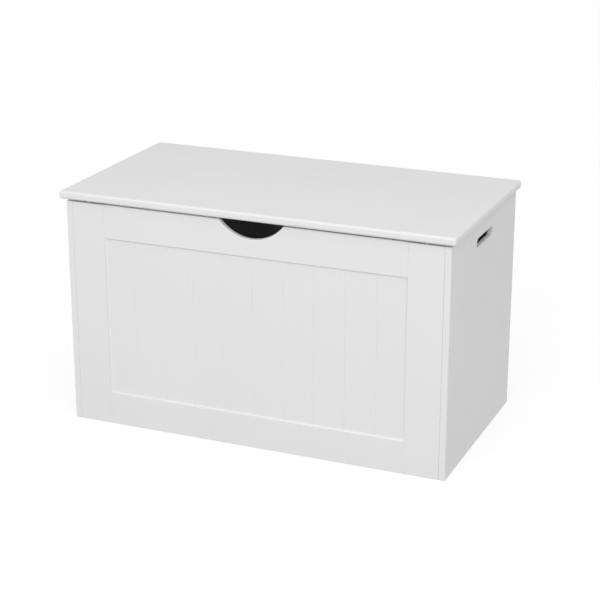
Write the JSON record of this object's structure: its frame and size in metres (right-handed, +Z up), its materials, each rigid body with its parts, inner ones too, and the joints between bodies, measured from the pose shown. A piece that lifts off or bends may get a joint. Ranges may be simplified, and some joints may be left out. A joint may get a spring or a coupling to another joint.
{
  "type": "wooden toy box",
  "caption": "White painted wooden toy box: grooved front panel in a frame, finger notch under a hinged lid, hand slot at each side, soft-close lid struts inside.",
  "frame": {"origin": "on the floor, under the centre of the box's bounding box", "axes": "+Z up, -Y out of the front, +X to the right seen from the front; the lid's hinge line runs along X at the back"},
  "size_m": [0.76, 0.4, 0.45],
  "materials": {
    "white_paint": "satin white paint on fibreboard",
    "raw_pine": "bare planed pine",
    "nickel_plate": "nickel plated steel",
    "zinc_plate": "bright zinc plated steel",
    "black_tube": "gloss black paint",
    "chrome_rod": "polished chrome",
    "black_plastic": "moulded matt black",
    "grey_rubber": "soft matt grey"
  },
  "bodies": {
    "carcass": {"back_panel": "white_paint", "bottom_panel": "white_paint", "front_bottom_rail": "white_paint", "front_floor_cleat": "raw_pine", "front_grooved_panel": "white_paint", "front_left_stile": "white_paint", "front_right_stile": "white_paint", "front_top_rail": "white_paint", "hinge_rail": "white_paint", "left_floor_cleat": "raw_pine", "left_hinge_frame_leaf": "nickel_plate", "left_hinge_frame_screw_inner": "zinc_plate", "left_hinge_frame_screw_outer": "zinc_plate", "left_hinge_pin": "nickel_plate", "left_lid_bumper": "grey_rubber", "left_side_panel": "white_paint", "left_strut_side_bracket": "zinc_plate", "left_strut_side_screw_lower": "zinc_plate", "left_strut_side_screw_upper": "zinc_plate", "rear_floor_cleat": "raw_pine", "right_floor_cleat": "raw_pine", "right_hinge_frame_leaf": "nickel_plate", "right_hinge_frame_screw_inner": "zinc_plate", "right_hinge_frame_screw_outer": "zinc_plate", "right_hinge_pin": "nickel_plate", "right_lid_bumper": "grey_rubber", "right_side_panel": "white_paint", "right_strut_side_bracket": "zinc_plate", "right_strut_side_screw_lower": "zinc_plate", "right_strut_side_screw_upper": "zinc_plate"},
    "lid": {"left_hinge_lid_leaf": "nickel_plate", "left_hinge_lid_screw_inner": "zinc_plate", "left_hinge_lid_screw_outer": "zinc_plate", "left_strut_lid_bracket": "zinc_plate", "left_strut_lid_screw_front": "zinc_plate", "left_strut_lid_screw_rear": "zinc_plate", "lid": "white_paint", "right_hinge_lid_leaf": "nickel_plate", "right_hinge_lid_screw_inner": "zinc_plate", "right_hinge_lid_screw_outer": "zinc_plate", "right_strut_lid_bracket": "zinc_plate", "right_strut_lid_screw_front": "zinc_plate", "right_strut_lid_screw_rear": "zinc_plate"},
    "left_strut_cylinder": {"left_strut_tube": "black_tube", "left_strut_rod_guide": "black_plastic", "left_strut_tube_eye": "black_plastic"},
    "right_strut_cylinder": {"right_strut_tube": "black_tube", "right_strut_rod_guide": "black_plastic", "right_strut_tube_eye": "black_plastic"},
    "left_strut_piston_rod": {"left_strut_rod": "chrome_rod", "left_strut_piston": "black_plastic", "left_strut_rod_eye": "black_plastic"},
    "right_strut_piston_rod": {"right_strut_rod": "chrome_rod", "right_strut_piston": "black_plastic", "right_strut_rod_eye": "black_plastic"}
  },
  "joints": [
    {"name": "lid_hinge", "type": "hinge", "parent": "carcass", "child": "lid", "pos_m": [0, 0.1975, 0.4325], "axis": [-1, 0, 0], "range_deg": [0, 75]},
    {"name": "left_strut_base_pivot", "type": "hinge", "parent": "carcass", "child": "left_strut_cylinder", "pos_m": [-0.345, 0.16363, 0.29666], "axis": [-1, 0, 0], "range_deg": [0, 37.5]},
    {"name": "left_strut_lid_pivot", "type": "hinge", "parent": "lid", "child": "left_strut_piston_rod", "pos_m": [-0.345, 0.05782, 0.423], "axis": [-1, 0, 0], "range_deg": [-37.5, 0]},
    {"name": "right_strut_base_pivot", "type": "hinge", "parent": "carcass", "child": "right_strut_cylinder", "pos_m": [0.345, 0.16363, 0.29666], "axis": [-1, 0, 0], "range_deg": [0, 37.5]},
    {"name": "right_strut_lid_pivot", "type": "hinge", "parent": "lid", "child": "right_strut_piston_rod", "pos_m": [0.345, 0.05782, 0.423], "axis": [-1, 0, 0], "range_deg": [-37.5, 0]}
  ],
  "couplings": [
    {"joint": "left_strut_base_pivot", "follows": "lid_hinge", "ratio": 0.5},
    {"joint": "left_strut_lid_pivot", "follows": "lid_hinge", "ratio": -0.5},
    {"joint": "right_strut_base_pivot", "follows": "lid_hinge", "ratio": 0.5},
    {"joint": "right_strut_lid_pivot", "follows": "lid_hinge", "ratio": -0.5}
  ]
}
